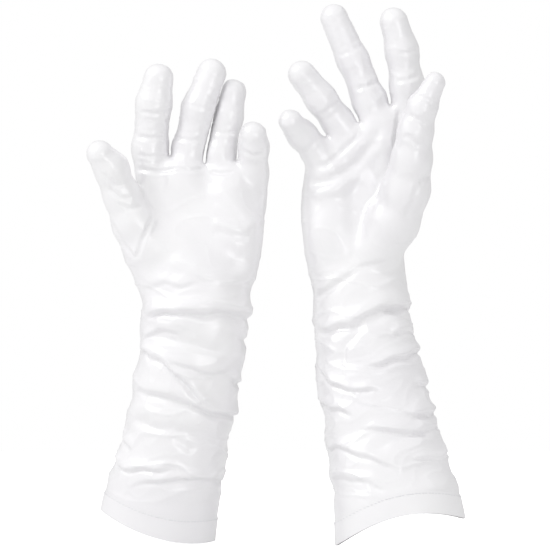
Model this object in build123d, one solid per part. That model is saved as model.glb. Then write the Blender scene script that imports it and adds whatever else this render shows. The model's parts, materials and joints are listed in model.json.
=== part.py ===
from build123d import *

import os
from math import cos, radians, sin

# A pair of elbow-length satin opera gloves, held up as they are worn: palms to the front, fingers up.
#
# +Z is up, +Y points from the palms to the backs of the hands, and +X runs from the left glove to the right
# one. The origin is the middle of the pair's footprint, at the height of the lowest hem.
#
# Each glove is a thin shell. A palm panel and a back panel meet at two long seams, a pointed gusset carries
# the thumb, fourchettes join the fronts of the fingers to their backs, and a turned-up double hem ends the
# sleeve. Cloth only bends at a knuckle, but rigid pieces have to part there, so each finger starts just above
# the crease on its palm side, and turns about it.

# ---- driving dimensions, millimetres ----
WALL = 1.2  # the cloth with its turned seam allowances
HEM_WALL = 2.0  # the hem is the same cloth turned up
HEM_HEIGHT = 17.0
CREASE_CLEARANCE = 0.3  # how far a finger's joint stands in front of the cloth that it folds over
SEAM = 0.8  # width of a sewn line
SEAM_CLEARANCE = 0.05  # between a sewn line and each panel beside it
FOURCHETTE = 6.0  # width of the strip between a finger's front and back
KNUCKLE_GAP = 0.6  # clearance between a finger and the hand, and between the thumb and its gusset
CORNER = 0.92  # corner radius of a section, as a share of its half depth
GUSSET_FOOT_RADIUS = 13.0
BIG = 500.0  # side of a cutting block

# ---- sleeve and hand: centre x, y, z, half width, half depth and roll in degrees, from the hem up ----
# Roll turns a section in the plane of the palm, positive when its right side is the higher one.
LEFT_HEM = (-77.5, 16.0, 11.4, 36.5, 30.5, -15.0)
LEFT_SECTIONS = [
    (-72.0, 12.0, 36.0, 35.5, 30.0, -9.0),
    (-66.0, 7.0, 63.4, 33.5, 29.0, -10.0),
    (-59.9, 2.0, 96.4, 33.0, 27.5, -10.0),
    (-52.8, -3.0, 129.4, 32.5, 26.0, -8.0),
    (-51.0, -8.0, 162.4, 35.0, 24.0, -4.0),
    (-49.8, -8.0, 187.4, 38.0, 21.5, -2.0),
    (-47.0, -3.0, 218.5, 41.5, 17.0, -3.0),
    (-48.8, 3.0, 248.2, 45.5, 12.0, -5.0),
]
RIGHT_HEM = (82.2, -16.0, 11.0, 42.5, 32.0, 12.0)
RIGHT_SECTIONS = [
    (78.6, -12.0, 36.0, 40.5, 31.5, 11.0),
    (74.3, -7.0, 63.4, 37.0, 30.0, 10.0),
    (66.1, -1.0, 96.4, 34.5, 28.5, 10.0),
    (60.4, 4.0, 129.4, 33.0, 27.0, 8.0),
    (57.8, 8.0, 162.4, 31.5, 25.0, 5.0),
    (53.5, 11.0, 187.4, 32.0, 22.0, 4.0),
    (51.8, 12.0, 218.5, 33.5, 19.5, 6.0),
    (54.5, 10.0, 248.0, 37.5, 16.0, 14.0),
    (61.7, 4.0, 276.5, 46.5, 12.0, 26.0),
]

# ---- fingers: place along the knuckle line, length to the tip's centre, base and tip radius, splay, curl ----
# Splay leans a finger to the right and curl leans it forward, both in degrees from upright.
LEFT_FINGERS = {
    "index": (-33.3, 59.5, 10.5, 9.4, 7.8, 9.0),
    "middle": (-8.6, 67.0, 9.9, 8.4, 13.4, 4.0),
    "ring": (12.9, 55.0, 9.5, 8.0, 11.4, -4.0),
    "little": (33.8, 36.0, 9.4, 8.0, 6.0, 45.0),
}
RIGHT_FINGERS = {
    "index": (33.2, 57.0, 10.2, 8.8, -12.2, 8.0),
    "middle": (9.4, 71.0, 10.4, 8.8, -23.1, 3.0),
    "ring": (-15.1, 49.0, 9.8, 8.4, -35.5, 14.0),
    "little": (-37.0, 32.0, 9.0, 7.8, -40.6, 35.0),
}

# ---- thumb: the gusset's foot and the joint, as points, then length, base and tip radius, splay, curl ----
LEFT_THUMB = ((-84.0, -6.0, 200.0), (-99.5, -17.0, 233.0), 30.0, 11.8, 8.4, -33.0, 22.0)
RIGHT_THUMB = ((80.0, -4.0, 214.0), (91.4, -25.0, 260.0), 50.0, 11.6, 7.6, 17.0, 18.0)


def section_planes(sections):
    """A plane for each section, across the arm, from the hem up."""
    last = len(sections) - 1
    planes = []
    for i, (x, y, z, _, _, roll) in enumerate(sections):
        below, above = sections[max(i - 1, 0)], sections[min(i + 1, last)]
        lean = (Vector(*above[:3]) - Vector(*below[:3])).normalized().Y
        rise = (1 - lean**2) ** 0.5
        tilt = radians(roll)
        normal = (-sin(tilt) * rise, lean, cos(tilt) * rise)
        planes.append(Plane(origin=(x, y, z), x_dir=(cos(tilt), 0, sin(tilt)), z_dir=normal))
    return planes


def outline(section, inset=0.0):
    """The outline of one section, or the same outline moved in by inset."""
    half_width, half_depth = section[3:5]
    corner = CORNER * half_depth - inset
    return RectangleRounded(2 * (half_width - inset), 2 * (half_depth - inset), corner)


def inside(sections, planes, inset=0.0):
    return loft([plane * outline(section, inset) for section, plane in zip(sections, planes)], ruled=True)


def wall_part(sections, planes, region):
    """The share of the arm's and hand's wall whose cross-section lies inside a region."""
    rings = [outline(section) - outline(section, WALL) for section in sections]
    return loft([plane * (ring & region) for ring, plane in zip(rings, planes)], ruled=True)


def band(sections, planes):
    """A ring of double cloth between two sections."""
    return inside(sections, planes) - inside(sections, planes, HEM_WALL)


def between(low, high, share):
    """The section that lies this share of the way from one section to another."""
    return tuple(a + (b - a) * share for a, b in zip(low, high))


def direction(splay, curl):
    """The way a finger points when it leans right by splay and forward by curl."""
    s, c = radians(splay), radians(curl)
    return Vector(sin(s) * cos(c), -sin(c), cos(s) * cos(c))


def finger_plane(base, along):
    """A finger's own frame: Z to its tip, X across it, Y to its back."""
    return Plane(origin=base, x_dir=Vector(0, 1, 0).cross(along).normalized(), z_dir=along)


def finger_form(length, base_radius, tip_radius, below, inset):
    """A tapered round form with a domed tip, whose foot is this far below its origin."""
    foot = base_radius + (base_radius - tip_radius) / length * below - inset
    tip = tip_radius - inset
    dome = ((tip * sin(radians(45))), length + tip * cos(radians(45)))
    edges = Polyline((tip, length), (foot, -below), (0, -below), (0, length + tip))
    edges += ThreePointArc((tip, length), dome, (0, length + tip))
    return revolve(Plane.XZ * make_face(edges), Axis.Z)


def finger_shell(finger, below):
    return finger_form(*finger, below, 0) - finger_form(*finger, below, WALL)


def block(plane, x=(-BIG, BIG), y=(-BIG, BIG), z=(-BIG, BIG)):
    """A cutting block with these limits along a plane's own axes."""
    size = [high - low for low, high in (x, y, z)]
    middle = [(high + low) / 2 for low, high in (x, y, z)]
    return plane * Pos(*middle) * Box(*size)


def largest(shape):
    return max(shape.solids(), key=lambda solid: solid.volume)


def finger_pieces(finger, knuckles, palm_depth, sides):
    """One finger's front, back and fourchettes, with its joint's point and axis, in front of the palm panel."""
    offset, length, base_radius, tip_radius, splay, curl = finger
    base = knuckles.from_local_coords(Vector(offset, 0, 0))
    frame = finger_plane(base, direction(splay, curl))
    shell = frame * finger_shell((length, base_radius, tip_radius), below=2 * base_radius)
    shell &= block(knuckles, z=(KNUCKLE_GAP, BIG))
    half = FOURCHETTE / 2
    front = largest(shell & block(frame, y=(-BIG, -half)))
    back = shell & block(frame, y=(-half, BIG))
    strips = []
    for side in sides:
        reach = (0, BIG) if side > 0 else (-BIG, 0)
        strip = block(frame, x=reach, y=(-half, half), z=(-BIG, length))
        strips.append(largest(back & strip))
        back -= strip
    foot_depth = base_radius / cos(radians(curl)) + KNUCKLE_GAP
    crease_depth = max(palm_depth, foot_depth) + CREASE_CLEARANCE
    crease = knuckles.from_local_coords(Vector(offset, -crease_depth, 0))
    return {"front": front, "back": largest(back), "fourchettes": strips}, (crease, knuckles.x_dir)


def thumb_pieces(thumb, hand):
    """The thumb, its gusset, the solid that the gusset wraps, and the joint's point and axis."""
    foot, joint, length, base_radius, tip_radius, splay, curl = thumb
    frame = finger_plane(Vector(*joint), direction(splay, curl))
    reach = Vector(*joint) - Vector(*foot)
    overrun = 2 * base_radius
    root = finger_plane(Vector(*foot), reach.normalized())

    def gusset_form(inset):
        tip_at = Plane(root.origin, x_dir=root.x_dir, z_dir=-root.z_dir)
        form = finger_form(1.0, GUSSET_FOOT_RADIUS, GUSSET_FOOT_RADIUS, reach.length + overrun, inset)
        return (tip_at * form) & block(frame, z=(-BIG, 0))

    wrapped = gusset_form(0)
    gusset = largest(wrapped - gusset_form(WALL) - hand)
    shell = frame * finger_shell((length, base_radius, tip_radius), below=0)
    panel = largest(shell & block(frame, z=(KNUCKLE_GAP, BIG)))
    crease = frame.from_local_coords(Vector(0, -base_radius, 0))
    return panel, gusset, wrapped, (crease, frame.x_dir)


def glove(side, hem, sections, fingers, thumb, thumb_side):
    """Every piece of one glove, and the joints of its fingers. thumb_side is -1 for a thumb on the left."""
    rise = sections[0][2] - hem[2]
    hem_top = between(hem, sections[0], HEM_HEIGHT / rise)
    panel_foot = between(hem, sections[0], (HEM_HEIGHT + SEAM) / rise)
    rows = [hem, hem_top, panel_foot, *sections]
    planes = section_planes(rows)
    walls = (rows[2:], planes[2:])
    hand = inside(*walls)
    thumb_panel, gusset, wrapped, thumb_joint = thumb_pieces(thumb, hand)
    panel_edge = SEAM / 2 + SEAM_CLEARANCE
    regions = {
        "palm": Pos(0, -BIG / 2 - panel_edge) * Rectangle(BIG, BIG),
        "back": Pos(0, BIG / 2 + panel_edge) * Rectangle(BIG, BIG),
        "outer": Pos(-thumb_side * BIG / 2, 0) * Rectangle(BIG, SEAM),
        "thumb": Pos(thumb_side * BIG / 2, 0) * Rectangle(BIG, SEAM),
    }
    cloth = {name: wall_part(*walls, region) for name, region in regions.items()}
    pieces = {
        "palm_panel": largest(cloth["palm"] - wrapped),
        "back_panel": largest(cloth["back"] - wrapped),
        "outer_seam": cloth["outer"],
        "thumb_side_seam": largest(cloth["thumb"] - wrapped),
        "cuff_hem": band(rows[:2], planes[:2]),
        "hem_stitching": band(rows[1:3], planes[1:3]),
        "thumb_gusset": gusset,
        "thumb_panel": thumb_panel,
    }
    joints = {"thumb": thumb_joint}
    order = sorted(fingers, key=lambda name: fingers[name][0])
    for place, name in enumerate(order):
        sides = [step for step in (-1, 1) if 0 <= place + step < len(order)]
        made, joints[name] = finger_pieces(fingers[name], planes[-1], sections[-1][4], sides)
        pieces |= {f"{name}_{piece}": shape for piece, shape in made.items()}
    return (
        {f"{side}_{name}": shape for name, shape in pieces.items()},
        {f"{side}_{name}": joint for name, joint in joints.items()},
    )


left_pieces, left_joints = glove("left", LEFT_HEM, LEFT_SECTIONS, LEFT_FINGERS, LEFT_THUMB, -1)
right_pieces, right_joints = glove("right", RIGHT_HEM, RIGHT_SECTIONS, RIGHT_FINGERS, RIGHT_THUMB, 1)
all_pieces = left_pieces | right_pieces
solids_of = {node: shape if isinstance(shape, list) else shape.solids() for node, shape in all_pieces.items()}
box = Compound([solid for solids in solids_of.values() for solid in solids]).bounding_box()
to_origin = Pos(-(box.min.X + box.max.X) / 2, -(box.min.Y + box.max.Y) / 2, -box.min.Z)

os.makedirs("parts", exist_ok=True)
for node, solids in solids_of.items():
    placed = [to_origin * solid for solid in solids]
    export_step(placed[0] if len(placed) == 1 else Compound(children=placed), f"parts/{node}.step")

for name, (point, axis) in (left_joints | right_joints).items():
    place = point + to_origin.position
    print(f"{name}: hinge at {tuple(round(v, 3) for v in place)}, axis {tuple(round(v, 5) for v in axis)}")
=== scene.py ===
"""The looks of a pair of white satin opera gloves, worn, palms forward, on a plain white floor.

Each glove is one stretch-satin surface. Its smooth form is a distance field: a sleeve and hand of rounded
sections, joined softly to fingers and a thumb of tapered chains. Folds, creases and seams are then raised on
its mesh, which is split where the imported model's fingers part from the hand. Lengths here are millimetres,
and become metres only when a mesh is handed to Blender.
"""

import json
import math

import bpy
import numpy as np
import openvdb
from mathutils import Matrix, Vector


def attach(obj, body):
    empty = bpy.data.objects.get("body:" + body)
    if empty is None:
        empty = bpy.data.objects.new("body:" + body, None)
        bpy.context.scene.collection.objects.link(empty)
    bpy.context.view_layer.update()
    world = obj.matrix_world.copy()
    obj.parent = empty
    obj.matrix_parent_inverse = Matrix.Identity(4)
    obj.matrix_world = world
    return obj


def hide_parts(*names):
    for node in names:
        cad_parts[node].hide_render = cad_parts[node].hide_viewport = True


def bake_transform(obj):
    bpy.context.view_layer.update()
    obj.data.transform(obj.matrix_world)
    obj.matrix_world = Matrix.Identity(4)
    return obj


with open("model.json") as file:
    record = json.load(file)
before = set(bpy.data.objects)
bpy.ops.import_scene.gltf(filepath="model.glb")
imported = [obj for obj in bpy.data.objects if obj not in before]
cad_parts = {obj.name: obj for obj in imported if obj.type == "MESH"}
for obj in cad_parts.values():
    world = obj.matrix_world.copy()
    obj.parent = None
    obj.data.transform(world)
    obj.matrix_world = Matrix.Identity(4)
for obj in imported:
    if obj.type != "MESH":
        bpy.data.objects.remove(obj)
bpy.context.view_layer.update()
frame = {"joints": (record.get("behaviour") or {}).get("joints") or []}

MM = 0.001
DIGITS = ("index", "middle", "ring", "little", "thumb")
HAND_NODES = ("palm_panel", "back_panel", "outer_seam", "thumb_side_seam", "thumb_gusset")

# ---- the smooth form ----
VOXEL = 1.0  # grid step of the distance field
GRID = {"left": ((-128.0, -52.0, -4.0), (6.0, 54.0, 324.0)), "right": ((0.0, -56.0, -4.0), (130.0, 50.0, 362.0))}
KNUCKLE_ROUND = 7.0  # how softly the hand ends at the knuckle line
PAD_JOIN = 10.0  # how softly a pad swells out of the palm
WEB_JOIN = 2.5  # how softly two fingers meet below the point where they part
FINGER_JOIN = 4.0  # how softly the fingers grow out of the hand
THUMB_JOIN = {"left": 9.0, "right": 5.0}
CREVICE = 2.0  # least width between two fingers that lie together
PARTING = 1.5  # how far above the knuckle line two fingers part
SLEEVE_RADIUS = 34.0  # mean radius, which turns an angle round the sleeve into a length

# ---- the cloth ----
CLOTH = 0.7  # its thickness
SEAM_SIDE = 92.0  # degrees round the sleeve from its front to each long seam
SEAM_ALLOWANCE = 5.0
FOURCHETTE_HALF = 3.0  # half the width of the strip between two fingers
FOURCHETTE_SEAM = 0.35  # depth of its seams
BACK_FOLDS = 13
TURN_CLEARANCE = 0.6  # the height from which a digit could turn lies this far above the last point that it shares with its neighbours

# ---- the hem and its stitches ----
HEM_HEIGHT = 17.5
HEM_PROUD = 0.6  # how far the turned-up hem stands off the sleeve
HEM_CLOTH = CLOTH + 0.5
HEM_EDGE_LEVEL = 0.5  # the hem hangs lower than the sleeve's own edge inside it
SLEEVE_EDGE_LEVEL = 1.0
RIM_REACH = 2.2  # a rim point this near to an edge's level belongs to that edge
STITCH_PITCH = 2.6
STITCH_LENGTH = 1.7
STITCH_RADIUS = 0.28
STITCH_LEVEL = 15.2  # height of the row of stitches above the hem's edge
STITCH_SIDES = 8
STITCH_PROFILE = ((-0.5, 0.35), (-0.3, 1.0), (0.3, 1.0), (0.5, 0.35))  # place along a stitch, share of its radius

# ---- the studio, in metres ----
WORLD_DARK = 0.66
WORLD_BRIGHT = 1.0
BRIGHT_SIDE = (-0.5, -0.55, 0.75)
FLOOR_RADIUS = 1.3
FLOOR_LIFT = 1.0  # how much lighter the floor looks than it lights the satin
LIGHT_TARGET = (0, 0, 0.18)
CAMERA_DISTANCE = 2.4
PICTURE_WIDTH = 0.363  # how much the camera sees across, at the gloves
PICTURE_MIDDLE = (0.0007, 0.1790)  # x and z
SENSOR_WIDTH = 36.0

# ---- sections of each sleeve and hand: centre x, y, z, half width, half depth, roll in degrees ----
SECTIONS = {
    "left": [
        (-80.5, 18.0, -12.0, 39.5, 31.0, -9.0),
        (-74.4, 13.5, 30.0, 38.0, 30.5, -9.0),
        (-66.6, 8.0, 61.5, 34.8, 29.0, -10.0),
        (-60.2, 3.0, 95.0, 34.0, 27.5, -10.0),
        (-54.6, -2.0, 125.0, 34.0, 26.5, -8.0),
        (-52.2, -6.0, 150.0, 35.0, 25.0, -5.0),
        (-50.4, -7.0, 172.0, 35.5, 23.5, -3.0),
        (-49.0, -5.0, 195.0, 39.0, 20.0, -3.0),
        (-47.2, -1.5, 220.0, 41.0, 15.5, -4.0),
        (-47.0, 3.5, 246.0, 41.0, 11.0, -5.0),
        (-46.0, 4.0, 268.0, 40.0, 9.0, -6.0),
    ],
    "right": [
        (85.0, -18.0, -12.0, 45.0, 33.0, 8.0),
        (80.6, -14.0, 30.0, 41.5, 32.0, 8.0),
        (74.0, -7.0, 61.5, 38.0, 30.0, 8.0),
        (67.8, -1.0, 92.0, 35.5, 28.5, 8.0),
        (62.0, 4.0, 122.0, 34.0, 27.0, 8.0),
        (58.6, 7.5, 148.0, 31.5, 25.5, 5.0),
        (56.4, 10.0, 172.0, 31.0, 23.5, 4.0),
        (53.6, 12.0, 196.0, 32.5, 21.0, 4.0),
        (52.0, 12.5, 220.0, 34.0, 18.0, 6.0),
        (54.5, 10.5, 246.0, 36.5, 14.5, 14.0),
        (60.5, 6.0, 270.0, 41.0, 10.5, 24.0),
        (66.0, 4.0, 290.0, 41.0, 9.0, 26.0),
    ],
}
# ---- the hem's lower edge: its middle's x, half width, height, roll in degrees, and bow of its middle ----
HEM_EDGE = {"left": (-77.9, 36.0, 12.2, -15.8, -6.4), "right": (81.9, 41.6, 10.5, 12.5, 11.7)}
# ---- the line that the fingers leave the hand from: a point's x and z, and its roll in degrees ----
KNUCKLES = {"left": (-47.0, 251.0, -5.0), "right": (61.0, 280.0, 24.0)}
# ---- fingers: a chain of x, y, z, radius from root to tip ----
FINGERS = {
    "left": {
        "index": [(-80, 2, 238, 11.0), (-82, 2, 262, 11.2), (-79, -4, 292, 10.9), (-76, -7, 308.5, 9.6)],
        "middle": [(-57, 3, 238, 11.0), (-55.8, 3, 262, 10.8), (-49.5, -1, 289, 10.6), (-41, -3, 312, 9.7)],
        "ring": [(-37, 4, 236, 10.4), (-36.0, 3.5, 258, 9.8), (-30.4, 3, 284, 9.5), (-27.4, 2, 299.5, 9.0)],
        "little": [(-16.5, 4, 226, 10.8), (-14.6, 1, 247, 10.0), (-13.2, -7, 263, 9.2), (-13.4, -13, 271.0, 8.8)],
    },
    "right": {
        "little": [(38, 5, 244, 10.6), (29, 3, 259.5, 9.8), (18.5, -4, 271, 9.0), (11.0, -12, 280, 7.8)],
        "ring": [(54, 5, 262, 10.6), (43.5, 4, 279, 10.2), (31.0, -2, 295.5, 9.7), (18.2, -8, 311, 9.0)],
        "middle": [(69, 4, 272, 10.8), (63.4, 4, 294, 10.8), (52.2, 2, 321, 9.9), (40.0, 0, 348.5, 9.0)],
        "index": [(89, 3, 282, 10.8), (88.2, 3, 304, 11.0), (84.6, 0, 327, 10.4), (79.2, -4, 346, 9.2)],
    },
}
# ---- thumbs: a chain of x, y, z, radius from the heel of the hand to the tip ----
THUMBS = {
    "left": [
        (-74, -4, 178, 16.0),
        (-82, -7, 196, 16.5),
        (-91.5, -11, 213, 14.0),
        (-99.6, -16, 231, 11.6),
        (-106, -22, 248, 10.8),
        (-113.4, -28, 258.4, 8.8),
    ],
    "right": [
        (68, 2, 196, 17.0),
        (78, -4, 214, 17.0),
        (86.5, -13, 235, 15.2),
        (90.5, -22, 255, 12.6),
        (92.6, -28, 273, 11.0),
        (96.5, -33, 288, 9.2),
        (104.6, -38, 304, 6.6),
    ],
}
# ---- soft swellings of the palm: x, y, z, radius ----
PADS = {
    "left": [(-26, -7, 200, 14), (-28, -4, 232, 11), (-62, -3, 236, 12)],
    "right": [(36, 2, 206, 14), (38, 2, 240, 11), (74, 0, 268, 11)],
}


def smooth_min(a, b, k):
    """The smaller of two fields, with the crease between them rounded over k."""
    h = np.maximum(k - np.abs(a - b), 0) / k
    return np.minimum(a, b) - h * h * k / 4


def smoothstep(low, high, value):
    """A soft step from 0 at low to 1 at high."""
    t = np.clip((value - low) / (high - low), 0, 1)
    return t * t * (3 - 2 * t)


def chains_of(side):
    """The chains of a hand's five digits."""
    return {**FINGERS[side], "thumb": THUMBS[side]}


def section_at(side, z):
    """The sleeve's and hand's section at each height: six arrays."""
    rows = np.array(SECTIONS[side], np.float32)
    slopes = np.gradient(rows, rows[:, 2], axis=0)
    i = np.clip(np.searchsorted(rows[:, 2], z) - 1, 0, len(rows) - 2)
    span = rows[i + 1, 2] - rows[i, 2]
    t = np.clip((z - rows[i, 2]) / span, -1, 1.5)
    t2, t3 = t * t, t * t * t
    weights = (2 * t3 - 3 * t2 + 1, (t3 - 2 * t2 + t) * span, 3 * t2 - 2 * t3, (t3 - t2) * span)
    table = (rows[i], slopes[i], rows[i + 1], slopes[i + 1])
    return np.moveaxis(sum(w[..., None] * r for w, r in zip(weights, table)), -1, 0)


def tube_place(side, x, y, z):
    """How far across and deep each point lies in its own section, and that section's half sizes."""
    level = z.copy()
    for _ in range(2):
        s = section_at(side, level)
        level = z - (x - s[0]) * np.tan(np.radians(s[5]))
    s = section_at(side, level)
    across = (x - s[0]) / np.cos(np.radians(s[5]))
    return across, y - s[1], s[3], s[4], level


def tube_distance(side, x, y, z):
    """Distance to the sleeve and hand, which are oval at the arm and squarer across the palm."""
    across, deep, half_width, half_depth, level = tube_place(side, x, y, z)
    power = 2.0 + 0.9 * smoothstep(200, 245, level)
    share = ((np.abs(across) / half_width) ** power + (np.abs(deep) / half_depth) ** power) ** (1 / power)
    reach = np.hypot(across, deep)
    return np.where(share > 1e-3, reach * (1 - 1 / np.maximum(share, 1e-3)), -half_depth)


def chain_distance(points, x, y, z, k=5.0):
    """Distance to a chain of tapered links."""
    result = None
    for (ax, ay, az, ra), (bx, by, bz, rb) in zip(points, points[1:]):
        dx, dy, dz = bx - ax, by - ay, bz - az
        t = ((x - ax) * dx + (y - ay) * dy + (z - az) * dz) / (dx * dx + dy * dy + dz * dz)
        t = np.clip(t, 0, 1)
        link = np.sqrt((x - ax - t * dx) ** 2 + (y - ay - t * dy) ** 2 + (z - az - t * dz) ** 2)
        link -= ra + (rb - ra) * t
        result = link if result is None else smooth_min(result, link, k)
    return result


def hem_height(side, x):
    """Height of the hem's lower edge at each x."""
    middle_x, half_width, middle_z, roll, bow = HEM_EDGE[side]
    u = np.clip((x - middle_x) / half_width, -1.15, 1.15)
    return middle_z + math.tan(math.radians(roll)) * (x - middle_x) + bow * (1 - u * u)


def unwarp(side, x, level):
    """Height in the glove of a point of the grid, whose level 0 lies along the hem's edge."""
    return level + hem_height(side, x) * (1 - smoothstep(0, 90, level))


def glove_surface(side):
    """The smooth glove as points, quads and levels above the hem's edge."""
    low, high = (np.array(corner) for corner in GRID[side])
    axes = [np.arange(a, b, VOXEL, dtype=np.float32) for a, b in zip(low, high)]
    x, y, level = np.meshgrid(*axes, indexing="ij")
    z = unwarp(side, x, level).astype(np.float32)
    body = tube_distance(side, x, y, z)
    rise = knuckle_rise(side, x, z)
    body = -smooth_min(-body, -rise, KNUCKLE_ROUND)
    for px, py, pz, radius in PADS[side]:
        pad = np.sqrt((x - px) ** 2 + ((y - py) * 1.2) ** 2 + ((z - pz) * 0.6) ** 2) - radius
        body = smooth_min(body, pad, PAD_JOIN)
    digits = {name: chain_distance(points, x, y, z) for name, points in chains_of(side).items()}
    near = sorted_pair([d for name, d in digits.items() if name != "thumb"])
    fingers = np.maximum(near[0], (CREVICE - (near[1] - near[0])) / 2)
    fingers = np.where(rise > PARTING, fingers, smooth_min(near[0], near[1], WEB_JOIN))
    field = smooth_min(body, fingers, FINGER_JOIN)
    field = smooth_min(field, digits["thumb"], THUMB_JOIN[side])
    grid = openvdb.FloatGrid()
    grid.copyFromArray(field.astype(np.float32))
    points, quads = grid.convertToQuads(isovalue=0.0)
    points = points.astype(np.float64) * VOXEL + low
    levels = points[:, 2].copy()
    points[:, 2] = unwarp(side, points[:, 0], levels)
    return points, np.asarray(quads, np.int64), levels


def sorted_pair(fields):
    """The smallest and the second smallest of several fields."""
    first, second = fields[0], np.full_like(fields[0], 1e3)
    for field in fields[1:]:
        second = np.minimum(second, np.maximum(first, field))
        first = np.minimum(first, field)
    return first, second


def knuckle_rise(side, x, z):
    """Height above the line along which the fingers leave the hand."""
    middle_x, middle_z, roll = KNUCKLES[side]
    tilt = math.radians(roll)
    return (z - middle_z) * math.cos(tilt) - (x - middle_x) * math.sin(tilt)


# ---- folds of each sleeve: (angle round the sleeve from its front, height) points, height, width, crease ----
# A fold swells above its line and creases just under it. A valley has a negative height.
FOLDS = {
    "left": [
        ([(-84, 151), (-60, 155), (-15, 158), (30, 156), (80, 152), (120, 156)], 2.6, 7.0, 2.4),
        ([(-75, 139), (-50, 141), (-10, 142.5)], 1.5, 4.0, 0.8),
        ([(-60, 138), (-20, 134), (20, 130.5), (50, 128)], -1.6, 4.5, 0.4),
        ([(-95, 134), (-62, 131), (-25, 118), (25, 99.5), (45, 95)], 2.2, 5.0, 1.6),
        ([(-80, 108), (-48, 105), (0, 98), (50, 92), (85, 89), (130, 92)], 2.4, 6.0, 2.0),
        ([(-75, 89), (-50, 86), (0, 78), (45, 72), (80, 70)], -2.0, 4.5, 0.8),
        ([(-5, 77), (10, 68), (25, 61)], -1.4, 4.0, 0.4),
        ([(-100, 59), (-58, 57), (-20, 53), (10, 51.5)], 1.8, 5.0, 1.0),
        ([(-40, 41), (0, 44), (40, 45), (80, 44), (120, 47)], 1.5, 4.5, 1.2),
        ([(55, 118), (75, 112), (110, 108)], 1.8, 5.0, 1.4),
        ([(60, 143), (90, 139), (130, 141)], 1.4, 4.5, 1.0),
        ([(-95, 76), (-70, 72), (-45, 68)], 1.5, 4.5, 1.0),
        ([(-30, 122), (15, 117), (60, 121)], 1.2, 4.0, 0.7),
        ([(-70, 171), (-35, 176), (5, 178)], 1.0, 5.0, 0.6),
    ],
    "right": [
        ([(-85, 162), (-55, 172), (-6, 184), (25, 190), (45, 195)], 2.0, 6.0, 1.4),
        ([(-90, 139), (-55, 144), (-6, 151), (25, 156), (85, 157), (120, 155)], 2.6, 6.5, 2.2),
        ([(85, 154), (40, 152), (-7, 144), (-26, 133), (-29, 123), (-12, 119)], -1.8, 4.0, 0.6),
        ([(-12, 121), (10, 124), (28, 126), (80, 127), (120, 130)], 2.2, 5.0, 1.8),
        ([(24, 90), (60, 88.5), (95, 88), (130, 92)], 2.4, 5.0, 1.8),
        ([(-27, 79), (0, 78), (19, 78), (70, 80), (100, 82)], 1.8, 4.5, 1.4),
        ([(-25, 59), (6, 70), (25, 75), (60, 78)], -1.6, 4.0, 0.4),
        ([(-90, 117), (-60, 112), (-20, 108), (10, 104)], 1.8, 5.0, 1.2),
        ([(-95, 98), (-65, 94), (-25, 92)], 1.8, 5.0, 1.2),
        ([(-90, 68), (-55, 66), (-15, 60), (10, 55)], 1.7, 5.0, 1.0),
        ([(30, 139), (60, 141), (95, 140)], 1.5, 4.5, 1.2),
        ([(50, 107), (80, 105), (115, 109)], 1.8, 4.5, 1.2),
        ([(-80, 48), (-40, 46), (-5, 42)], 1.2, 5.0, 0.6),
        ([(20, 62), (60, 60), (95, 63)], 1.4, 4.5, 0.8),
    ],
}
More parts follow.
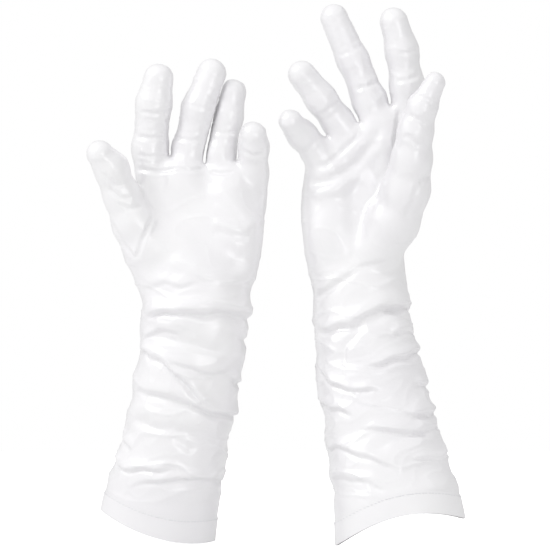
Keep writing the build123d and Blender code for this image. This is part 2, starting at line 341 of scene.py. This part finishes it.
# ---- creases and swellings of the palm side: (x, z) points, depth, width. A swelling has a negative depth. ----
CREASES = {
    "left": [
        ([(-79, 219.5), (-85, 204), (-90.2, 188.5)], 0.9, 1.3),
        ([(-107.3, 215), (-99, 201), (-90.2, 188.5)], 0.8, 1.3),
        ([(-92, 249), (-77, 247), (-63, 248.6)], 1.1, 1.4),
        ([(-66, 249), (-56, 247.6), (-46, 248.6)], 0.8, 1.3),
        ([(-43, 247), (-35, 245.6), (-26, 247)], 0.7, 1.3),
        ([(-89, 286.5), (-78, 284.6), (-68, 286)], 0.6, 1.3),
        ([(-91, 270), (-80, 268.6), (-71, 270.5)], 0.7, 1.4),
        ([(-91, 258.5), (-81, 256.6), (-71, 258)], 0.5, 1.2),
        ([(-66, 269.5), (-55, 267.2), (-44, 269)], 0.6, 1.4),
        ([(-56, 291), (-47, 288.4), (-38, 290)], 0.4, 1.3),
        ([(-41, 274), (-32, 272), (-24, 274)], 0.5, 1.3),
        ([(-22, 261), (-13, 257), (-6, 259)], 0.7, 1.4),
        ([(-41, 240), (-26, 226), (-9, 210)], -1.1, 5.5),
        ([(-41, 231), (-27, 217), (-12, 203)], 0.4, 3.6),
        ([(-41, 214), (-28, 210), (-15, 208)], -0.8, 3.2),
        ([(-41, 209), (-28, 205), (-15, 203)], 0.35, 2.4),
        ([(-86, 241), (-55, 214), (-14, 178)], 2.6, 10.0),
        ([(-70, 190), (-45, 182), (-20, 176)], -1.0, 4.5),
        ([(-112, 246), (-104, 238), (-97, 237)], 0.7, 1.4),
        ([(-108, 236), (-100, 229), (-92, 229)], 0.8, 1.5),
        ([(-102, 227), (-95, 222), (-86, 224)], 0.6, 1.4),
    ],
    "right": [
        ([(94, 238.6), (90, 226), (86, 215)], 0.6, 1.7),
        ([(94, 238.6), (99, 242), (104, 244.6)], 0.8, 1.4),
        ([(67.6, 262), (66.5, 249), (69.5, 230), (76, 214)], 0.8, 4.0),
        ([(82.8, 289.4), (81.4, 276.2), (79.4, 261)], 1.0, 1.6),
        ([(26.7, 251), (34.6, 251), (41.8, 257.8), (58.3, 273)], 0.9, 1.8),
        ([(20, 238), (36.6, 241), (51.7, 250), (65, 265.7), (71.5, 279)], 1.3, 3.0),
        ([(24, 231), (42, 236), (58, 247)], -1.0, 4.0),
        ([(80.8, 306), (88, 307.4), (96, 310.6)], 0.7, 1.4),
        ([(82, 325), (88, 325), (95, 327.5)], 0.5, 1.3),
        ([(54, 301), (62, 303.6), (71, 308)], 0.7, 1.5),
        ([(42, 323), (50, 326), (59, 331)], 0.5, 1.4),
        ([(30, 284), (37, 289), (44, 294)], 0.6, 1.4),
        ([(20, 259), (25, 264.5), (30, 270)], 0.7, 1.4),
        ([(95, 262), (89, 268), (84, 270)], 0.9, 1.6),
        ([(99, 276), (92, 281), (87, 283)], 0.7, 1.5),
        ([(103, 290), (97, 294), (92, 295)], 0.6, 1.4),
    ],
}
# ---- small wrinkles: zone, height, seed, wavelength, stretch, and the sharpness of crests or None for waves ----
WRINKLES = [
    ("sleeve", 0.6, 21, 26.0, (2.2, 2.2, 1.0), None),
    ("sleeve", 0.8, 24, 30.0, (3.2, 3.2, 1.0), 4),
    ("sleeve", 0.28, 25, 15.0, (2.6, 2.6, 1.0), 3),
    ("hand", 0.30, 31, 24.0, (1.0, 1.0, 1.4), None),
    ("hand", 0.30, 34, 26.0, (1.5, 1.5, 1.0), 4),
    ("fingers", 0.22, 36, 11.0, (2.4, 2.4, 1.0), 3),
]
EVEN = (1, 1, 1)


def back_folds(side):
    """Folds across the back of a sleeve, drawn by a seeded generator."""
    draw = np.random.default_rng(7 if side == "left" else 11)
    folds = []
    for i in range(BACK_FOLDS):
        height = 44 + 128 * (i + draw.uniform(0.1, 0.9)) / BACK_FOLDS
        middle, half = 180 + draw.uniform(-42, 42), draw.uniform(30, 62)
        slope, sag = draw.uniform(-9, 9), draw.uniform(-5, 5)
        line = [(middle + half * u, height + slope * u + sag * (1 - u * u)) for u in (-1, -0.5, 0, 0.5, 1)]
        folds.append((line, draw.uniform(1.2, 2.4), draw.uniform(4.5, 6.5), draw.uniform(0.8, 1.8)))
    return folds


def line_places(line, a, b):
    """Distance from each point (a, b) to a polyline, positive above it, and its share of the line's length."""
    line = np.array(line, float)
    lengths = np.hypot(*np.diff(line, axis=0).T)
    starts = np.concatenate([[0], np.cumsum(lengths)])
    best = np.full(len(a), 1e9)
    signed, share = np.zeros(len(a)), np.zeros(len(a))
    for (pa, pb), (qa, qb), length, start in zip(line, line[1:], lengths, starts):
        ta, tb = (qa - pa) / length, (qb - pb) / length
        along = np.clip((a - pa) * ta + (b - pb) * tb, 0, length)
        off = np.hypot(a - pa - along * ta, b - pb - along * tb)
        above = np.where(ta * (b - pb) - tb * (a - pa) >= 0, 1.0, -1.0) * (1 if ta >= 0 else -1)
        closer = off < best
        best = np.where(closer, off, best)
        signed = np.where(closer, off * above, signed)
        share = np.where(closer, (start + along) / starts[-1], share)
    return signed, share


def fold_height(folds, turn, z, ripple):
    """How far the folds raise the cloth at each point of the sleeve."""
    raised = np.zeros(len(z))
    around = turn * SLEEVE_RADIUS
    for line, height, width, crease in folds:
        height, crease = 0.9 * height, 1.05 * crease
        path = [(math.radians(angle) * SLEEVE_RADIUS, level) for angle, level in line]
        middle = sum(a for a, _ in path) / len(path)
        lap = around + 2 * math.pi * SLEEVE_RADIUS * np.round((middle - around) / (2 * math.pi * SLEEVE_RADIUS))
        off, share = line_places(path, lap, z + ripple)
        ends = smoothstep(0, 0.22, share) * smoothstep(0, 0.22, 1 - share)
        ridge = np.where(off > 0, np.exp(-((off / width) ** 2)), np.exp(-((off / (0.38 * width)) ** 2)))
        under = np.exp(-(((off + 0.5 * width) / (0.22 * width + 0.7)) ** 2))
        raised += ends * (height * ridge - crease * under)
    return raised


def waves(points, seed, wavelength, stretch):
    """Smooth seeded noise between about -1 and 1. stretch is longer along an axis where it is larger."""
    draw = np.random.default_rng(seed)
    total = np.zeros(len(points))
    count = 9
    for _ in range(count):
        way = draw.normal(size=3) / np.array(stretch)
        way *= 2 * math.pi / wavelength / max(np.linalg.norm(way), 1e-6) * draw.uniform(0.6, 1.3)
        total += np.sin(points @ way + draw.uniform(0, 2 * math.pi))
    return total / math.sqrt(count)


def edges_of(quads):
    """Each edge of the faces once."""
    pairs = np.concatenate([quads[:, [i, (i + 1) % 4]] for i in range(4)])
    return np.unique(np.sort(pairs, axis=1), axis=0)


def relaxed(points, edges, rounds, amount=0.5, back=-0.52):
    """Points smoothed without shrinking, by turns of easing and pushing back."""
    count = np.bincount(edges.ravel(), minlength=len(points))[:, None]
    for step in range(2 * rounds):
        total = np.zeros_like(points)
        for axis in range(3):
            total[:, axis] = np.bincount(edges[:, 0], points[edges[:, 1], axis], len(points))
            total[:, axis] += np.bincount(edges[:, 1], points[edges[:, 0], axis], len(points))
        points = points + (amount if step % 2 == 0 else back) * (total / count - points)
    return points


def normals_of(points, quads):
    """Each point's unit normal, from the faces round it."""
    a, b, c, d = (points[quads[:, i]] for i in range(4))
    faces = np.cross(c - a, d - b)
    result = np.zeros_like(points)
    for axis in range(3):
        for corner in range(4):
            result[:, axis] += np.bincount(quads[:, corner], faces[:, axis], len(points))
    return result / np.maximum(np.linalg.norm(result, axis=1, keepdims=True), 1e-9)


def finger_frames(points):
    """Each link of a chain as its start, its end and its two radii."""
    chain = np.array(points, float)
    return list(zip(chain[:-1, :3], chain[1:, :3], chain[:-1, 3], chain[1:, 3]))


def chain_centre(points, place):
    """The nearest point of a chain's line to each place."""
    best, centre = np.full(len(place), 1e9), np.zeros_like(place)
    for start, end, _, _ in finger_frames(points):
        run = end - start
        t = np.clip((place - start) @ run / (run @ run), 0, 1)[:, None]
        nearest = start + t * run
        off = np.linalg.norm(place - nearest, axis=1)
        centre = np.where((off < best)[:, None], nearest, centre)
        best = np.minimum(best, off)
    return centre


def ridged(points, seed, wavelength, stretch, sharpness):
    """Seeded crests that are narrow and sharp, between 0 and 1."""
    return np.clip(1 - np.abs(waves(points, seed, wavelength, stretch)), 0, 1) ** sharpness


def wrinkled(side, points, quads, levels):
    """The glove's points with folds, creases and seams raised on them."""
    normals = normals_of(points, quads)
    x, y, z = points.T
    across, deep, half_width, half_depth, _ = tube_place(side, x, y, z)
    turn = np.arctan2(across / half_width, -deep / half_depth)
    rise = knuckle_rise(side, x, z)
    sleeve = smoothstep(24, 38, z) * (1 - smoothstep(165, 200, z)) * smoothstep(16, 24, levels)
    hand = smoothstep(170, 200, z)
    front = smoothstep(-0.05, 0.35, -normals[:, 1])
    ripple = 2.2 * waves(points, 3, 46.0, EVEN) + 0.8 * waves(points, 5, 17.0, EVEN)
    raised = sleeve * fold_height(FOLDS[side] + back_folds(side), turn, z, ripple)
    bent = points + np.stack([0 * x, 0 * x, 3.5 * waves(points, 8, 40.0, EVEN)], axis=1)
    zones = {"sleeve": (sleeve, bent), "hand": (hand, points), "fingers": (smoothstep(4, 14, rise), points)}
    for name, height, seed, wavelength, stretch, sharpness in WRINKLES:
        share, place = zones[name]
        if sharpness is None:
            raised += share * height * waves(place, seed, wavelength, stretch)
        else:
            raised += share * height * ridged(place, seed, wavelength, stretch, sharpness)
    for line, depth, width in CREASES[side]:
        off, share = line_places(line, x, z)
        ends = smoothstep(0, 0.15, share) * smoothstep(0, 0.15, 1 - share)
        lip = 0.35 * depth * np.exp(-(((np.abs(off) - 1.9 * width) / width) ** 2))
        raised += front * ends * (lip - depth * np.exp(-((off / width) ** 2)))
    off = (np.abs(turn) - math.radians(SEAM_SIDE)) * SLEEVE_RADIUS
    welt = 0.3 * np.exp(-(((np.abs(off) - 1.7) / 0.9) ** 2)) - 0.5 * np.exp(-((off / 0.8) ** 2))
    raised += welt * (1 - smoothstep(205, 235, z)) * smoothstep(HEM_HEIGHT, HEM_HEIGHT + 3, levels)
    for chain in FINGERS[side].values():
        centre = chain_centre(chain, points)
        mine = smoothstep(3, 9, rise) * (1 - smoothstep(11.8, 13.0, np.linalg.norm(points - centre, axis=1)))
        off = np.abs(y - centre[:, 1]) - FOURCHETTE_HALF
        raised -= FOURCHETTE_SEAM * mine * np.exp(-((off / 0.8) ** 2)) * smoothstep(0.5, 0.8, np.abs(normals[:, 0]))
    return points + normals * raised[:, None]


def make_mesh(name, points, faces, normals):
    """A smooth object from points in millimetres."""
    mesh = bpy.data.meshes.new(name)
    mesh.from_pydata((points * MM).tolist(), [], [list(map(int, f)) for f in faces])
    mesh.polygons.foreach_set("use_smooth", np.ones(len(mesh.polygons), bool))
    mesh.normals_split_custom_set_from_vertices(normals.tolist())
    obj = bpy.data.objects.new(name, mesh)
    bpy.context.scene.collection.objects.link(obj)
    return obj


def picked(points, quads, normals, keep):
    """The chosen faces with only the points that they use, and those points' places in the whole."""
    faces = quads[keep]
    used, new = np.unique(faces, return_inverse=True)
    return points[used], new.reshape(faces.shape), normals[used], used


def rim_of(faces, count):
    """The edges that only one face has, each in its face's own direction."""
    pairs = np.concatenate([faces[:, [i, (i + 1) % 4]] for i in range(4)])
    keys = np.sort(pairs, axis=1) @ np.array([count, 1])
    _, index, times = np.unique(keys, return_index=True, return_counts=True)
    return pairs[index[times == 1]]


def trimmed(side, points, faces, levels, edge):
    """The cloth with its rim near one level moved exactly onto it."""
    rim = np.unique(rim_of(faces, len(points)))
    rim = rim[np.abs(levels[rim] - edge) < RIM_REACH]
    x = points[rim, 0]
    result = points.copy()
    result[rim, 2] += unwarp(side, x, np.full(len(rim), edge)) - unwarp(side, x, levels[rim])
    return result


def thickened(points, faces, normals, inward, outward=0.0):
    """An open surface given thickness, with its rims closed."""
    count = len(points)
    rim = rim_of(faces, count)
    outward = np.broadcast_to(outward, count)[:, None]
    both = np.concatenate([points + normals * outward, points - normals * inward])
    walls = np.stack([rim[:, 1], rim[:, 0], rim[:, 0] + count, rim[:, 1] + count], axis=1)
    every = np.concatenate([faces, faces[:, ::-1] + count, walls])
    return both, every, np.concatenate([normals, -normals])


# ---- where the fingers part from the hand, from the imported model's hinges ----
def hinge_place(name):
    """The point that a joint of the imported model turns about."""
    joint = next(j for j in frame["joints"] if j["name"] == name)
    return np.array(joint["pos_m"]) / MM


def digit_foot(side, name):
    """The point and direction of the plane above which a digit's own piece starts."""
    place = hinge_place(f"{side}_{name}_bend")
    start, end = next((a, b) for a, b, _, _ in finger_frames(chains_of(side)[name]) if b[2] > place[2] + 2)
    way = (end - start) / np.linalg.norm(end - start)
    return start + way * np.dot(place - start, way), way


def owners_of(side, points, quads):
    """The piece that each face belongs to: 0 for the hand, then the digits in their order."""
    centres = points[quads].mean(1)
    chains = chains_of(side)
    nearest = np.argmin([chain_distance(chains[name], *centres.T) for name in DIGITS], axis=0) + 1
    owner = np.zeros(len(quads), int)
    for i, name in enumerate(DIGITS, 1):
        foot, way = digit_foot(side, name)
        owner[(nearest == i) & ((centres - foot) @ way > 0)] = i
    return owner


def turn_start(side, name, points, quads, mine):
    """How far above its foot a digit may start to turn: past every point that it shares with other cloth."""
    foot, way = digit_foot(side, name)
    shared = np.intersect1d(quads[mine], quads[~mine])
    return float(np.max((points[shared] - foot) @ way)) + TURN_CLEARANCE


def hem_piece(side, points, quads, normals, levels):
    """The turned-up hem, which stands off the sleeve and sinks toward it at its top."""
    face_level = levels[quads].mean(1)
    keep = (face_level > 0.0) & (face_level < HEM_HEIGHT)
    part, faces, part_normals, used = picked(points, quads, normals, keep)
    for edge in (HEM_EDGE_LEVEL, HEM_HEIGHT):
        part = trimmed(side, part, faces, levels[used], edge)
    proud = HEM_PROUD * (1 - 0.85 * smoothstep(HEM_HEIGHT - 2.4, HEM_HEIGHT, levels[used]))
    return make_mesh(f"{side}_cuff_hem_satin", *thickened(part, faces, part_normals, HEM_CLOTH, proud))


def build_glove(side):
    """One glove's pieces, and for each digit the height above its foot past every point that it shares with other
    cloth.
    """
    points, quads, levels = glove_surface(side)
    edges = edges_of(quads)
    points = relaxed(points, edges, 4)
    if np.sum(normals_of(points, quads) * (points - points.mean(0))) < 0:
        quads = quads[:, ::-1]
    points = relaxed(wrinkled(side, points, quads, levels), edges, 1)
    normals = normals_of(points, quads)
    owner = owners_of(side, points, quads)
    above_edge = levels[quads].mean(1) > SLEEVE_EDGE_LEVEL
    pieces, bend_from = {}, {}
    for i, name in enumerate(("hand", *DIGITS)):
        part, faces, part_normals, used = picked(points, quads, normals, (owner == i) & above_edge)
        if name == "hand":
            part = trimmed(side, part, faces, levels[used], SLEEVE_EDGE_LEVEL)
        else:
            bend_from[name] = turn_start(side, name, points, quads, owner == i)
        label = "hand_and_sleeve" if name == "hand" else name
        pieces[name] = make_mesh(f"{side}_{label}_satin", *thickened(part, faces, part_normals, CLOTH))
    pieces["hem"] = hem_piece(side, points, quads, normals, levels)
    pieces["stitches"] = stitches(side, points, normals, quads, levels)
    return pieces, bend_from


def stitches(side, points, normals, quads, levels):
    """A row of short thread stitches on the cloth round the top of the hem."""
    face_level = levels[quads].mean(1)
    near = np.unique(quads[np.abs(face_level - STITCH_LEVEL) < 1.6])
    middle = points[near].mean(0)
    turn = np.arctan2(points[near, 1] - middle[1], points[near, 0] - middle[0])
    order = near[np.argsort(turn)]
    turn = np.sort(turn)
    count = int(2 * math.pi * SLEEVE_RADIUS * 1.1 / STITCH_PITCH)
    ring = [(math.cos(a), math.sin(a)) for a in np.linspace(0, 2 * math.pi, STITCH_SIDES, False)]
    body, faces, body_normals = [], [], []
    for i in range(count):
        at = -math.pi + 2 * math.pi * (i + 0.5) / count
        close = order[np.abs(turn - at) < 0.09]
        if len(close) < 3:
            continue
        weight = np.exp(-((levels[close] - STITCH_LEVEL) / 0.5) ** 2) + 1e-6
        place = (points[close] * weight[:, None]).sum(0) / weight.sum()
        out = (normals[close] * weight[:, None]).sum(0)
        out /= np.linalg.norm(out)
        place = place + out * (HEM_PROUD + 0.1)
        along = np.cross(out, (0, 0, 1.0))
        along /= np.linalg.norm(along)
        up = np.cross(along, out)
        first = len(body)
        for reach, size in STITCH_PROFILE:
            for c, d in ring:
                body.append(place + along * reach * STITCH_LENGTH + (up * c + out * d) * STITCH_RADIUS * size)
                body_normals.append(up * c + out * d)
        for row in range(len(STITCH_PROFILE) - 1):
            here, there = first + row * STITCH_SIDES, first + (row + 1) * STITCH_SIDES
            for k in range(STITCH_SIDES):
                n = (k + 1) % STITCH_SIDES
                faces.append([here + k, there + k, there + n, here + n])
    return make_mesh(f"{side}_hem_stitching_thread", np.array(body), faces, np.array(body_normals))


def satin(name, colour, shine):
    """White satin: a soft gloss over pale cloth, with a faint change of tint and a fine weave."""
    material = bpy.data.materials.new(name)
    material.use_nodes = True
    nodes, links = material.node_tree.nodes, material.node_tree.links
    shader = nodes["Principled BSDF"]
    shader.inputs["Metallic"].default_value = shine
    shader.inputs["Roughness"].default_value = 0.32
    shader.inputs["Coat Weight"].default_value = 0.25
    shader.inputs["Coat Roughness"].default_value = 0.2
    shader.inputs["Sheen Weight"].default_value = 0.2
    shader.inputs["Sheen Roughness"].default_value = 0.4
    shader.inputs["Specular IOR Level"].default_value = 0.6
    where = nodes.new("ShaderNodeTexCoord")
    tint = nodes.new("ShaderNodeTexNoise")
    tint.inputs["Scale"].default_value = 14.0
    tint.inputs["Detail"].default_value = 3.0
    ramp = nodes.new("ShaderNodeValToRGB")
    ramp.color_ramp.elements[0].position, ramp.color_ramp.elements[1].position = 0.2, 0.8
    ramp.color_ramp.elements[0].color = (*(c * k for c, k in zip(colour, (0.965, 0.955, 0.975))), 1)
    ramp.color_ramp.elements[1].color = (*colour, 1)
    weave = nodes.new("ShaderNodeTexNoise")
    weave.inputs["Scale"].default_value = 420.0
    weave.inputs["Detail"].default_value = 2.0
    bump = nodes.new("ShaderNodeBump")
    bump.inputs["Strength"].default_value = 0.12
    bump.inputs["Distance"].default_value = 0.0004
    links.new(where.outputs["Object"], tint.inputs["Vector"])
    links.new(where.outputs["Object"], weave.inputs["Vector"])
    links.new(tint.outputs[0], ramp.inputs[0])
    links.new(ramp.outputs["Color"], shader.inputs["Base Color"])
    links.new(weave.outputs[0], bump.inputs["Height"])
    links.new(bump.outputs["Normal"], shader.inputs["Normal"])
    return material


def thread(name, colour):
    """Dull white sewing thread."""
    material = bpy.data.materials.new(name)
    material.use_nodes = True
    shader = material.node_tree.nodes["Principled BSDF"]
    shader.inputs["Base Color"].default_value = (*colour, 1)
    shader.inputs["Roughness"].default_value = 0.75
    return material


def studio():
    """A white surround to look at, and a darker one, brightest above the left, to light the satin."""
    world = bpy.data.worlds.new("studio")
    world.use_nodes = True
    nodes, links = world.node_tree.nodes, world.node_tree.links
    seen = nodes["Background"]
    seen.inputs["Color"].default_value = (1.0, 1.0, 1.0, 1)
    lit = nodes.new("ShaderNodeBackground")
    lit.inputs["Color"].default_value = (1.0, 1.0, 1.0, 1)
    where, toward = nodes.new("ShaderNodeTexCoord"), nodes.new("ShaderNodeVectorMath")
    toward.operation = "DOT_PRODUCT"
    toward.inputs[1].default_value = Vector(BRIGHT_SIDE).normalized()
    level = nodes.new("ShaderNodeMapRange")
    level.interpolation_type = "SMOOTHSTEP"
    level.inputs["From Min"].default_value = -0.55
    level.inputs["From Max"].default_value = 0.85
    level.inputs["To Min"].default_value = WORLD_DARK
    level.inputs["To Max"].default_value = WORLD_BRIGHT
    links.new(where.outputs["Generated"], toward.inputs[0])
    links.new(toward.outputs["Value"], level.inputs["Value"])
    links.new(level.outputs["Result"], lit.inputs["Strength"])
    path, mix = nodes.new("ShaderNodeLightPath"), nodes.new("ShaderNodeMixShader")
    links.new(path.outputs["Is Camera Ray"], mix.inputs[0])
    links.new(lit.outputs[0], mix.inputs[1])
    links.new(seen.outputs[0], mix.inputs[2])
    links.new(mix.outputs[0], nodes["World Output"].inputs["Surface"])
    scene = bpy.context.scene
    scene.world = world
    scene.view_settings.view_transform = "Standard"


def floor():
    """A plain white floor at the level of the lowest hem."""
    mesh = bpy.data.meshes.new("floor")
    turns = np.linspace(0, 2 * math.pi, 96, False)
    rim = [(FLOOR_RADIUS * math.cos(a), FLOOR_RADIUS * math.sin(a), 0) for a in turns]
    mesh.from_pydata(rim, [], [range(len(rim))])
    obj = bpy.data.objects.new("floor", mesh)
    bpy.context.scene.collection.objects.link(obj)
    material = bpy.data.materials.new("floor")
    material.use_nodes = True
    nodes, links = material.node_tree.nodes, material.node_tree.links
    shader = nodes["Principled BSDF"]
    shader.inputs["Base Color"].default_value = (0.85, 0.85, 0.85, 1)
    shader.inputs["Roughness"].default_value = 0.9
    shader.inputs["Emission Color"].default_value = (1, 1, 1, 1)
    path, lift = nodes.new("ShaderNodeLightPath"), nodes.new("ShaderNodeMath")
    lift.operation = "MULTIPLY"
    lift.inputs[1].default_value = FLOOR_LIFT
    links.new(path.outputs["Is Camera Ray"], lift.inputs[0])
    links.new(lift.outputs[0], shader.inputs["Emission Strength"])
    mesh.materials.append(material)


def area_light(name, place, size, power):
    """A white square light aimed at the middle of the gloves."""
    light = bpy.data.lights.new(name, "AREA")
    light.size, light.energy = size, power
    obj = bpy.data.objects.new(name, light)
    obj.location = place
    obj.rotation_euler = (Vector(LIGHT_TARGET) - Vector(place)).to_track_quat("-Z", "Y").to_euler()
    bpy.context.scene.collection.objects.link(obj)


def camera():
    """A level camera in front of the palms."""
    data = bpy.data.cameras.new("camera")
    data.sensor_width = SENSOR_WIDTH
    data.lens = data.sensor_width * CAMERA_DISTANCE / PICTURE_WIDTH
    obj = bpy.data.objects.new("camera", data)
    obj.location = (PICTURE_MIDDLE[0], -CAMERA_DISTANCE, PICTURE_MIDDLE[1])
    obj.rotation_euler = (math.radians(90), 0, 0)
    bpy.context.scene.collection.objects.link(obj)
    bpy.context.scene.camera = obj


def digit_cut(chain, foot, way):
    """A digit's flat size and area with seam allowances: a tapered tube above its foot, closed by a dome."""
    area, length, girth = 0.0, 0.0, 0.0
    for start, end, low, high in finger_frames(chain):
        run = end - start
        share = np.clip(((foot - start) @ way) / (run @ way), 0, 1)
        radius = low + (high - low) * share
        rest = np.linalg.norm(run) * (1 - share)
        if rest > 0:
            area += math.pi * (radius + high) * rest
            girth = max(girth, 2 * math.pi * radius)
        length += rest
    tip = chain[-1][3]
    area += 2 * math.pi * tip * tip
    width, height = girth + 2 * SEAM_ALLOWANCE, length + math.pi / 2 * tip + SEAM_ALLOWANCE
    area += 2 * SEAM_ALLOWANCE * height
    return (width * MM, height * MM), min(area, width * height) * MM * MM


white = satin("white_satin", (0.9, 0.897, 0.903), 0.3)
hem_white = satin("hem_satin", (0.9, 0.897, 0.903), 0.2)
thread_white = thread("thread_white", (0.80, 0.80, 0.82))

for side in ("left", "right"):
    pieces, bend_from = build_glove(side)
    for name, piece in pieces.items():
        material, slot = {"hem": (hem_white, "hem"), "stitches": (thread_white, "thread")}.get(name, (white, "satin"))
        piece.data.materials.append(material)
        if name in ("hand", "hem", "stitches"):
            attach(piece, f"{side}_glove")
        else:
            foot, way = digit_foot(side, name)
            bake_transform(piece)
            parts = ("front", "back", "fourchettes") if name != "thumb" else ("panel",)
            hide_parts(*(f"{side}_{name}_{part}" for part in parts))
            flat, area = digit_cut(chains_of(side)[name], foot, way)
    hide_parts(*(f"{side}_{node}" for node in HAND_NODES))
    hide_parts(f"{side}_cuff_hem")
    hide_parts(f"{side}_hem_stitching")

studio()
area_light("key", (-1.3, -0.8, 1.5), size=0.45, power=8)
area_light("fill", (0.7, -1.8, 0.1), size=0.6, power=1.2)
floor()
camera()
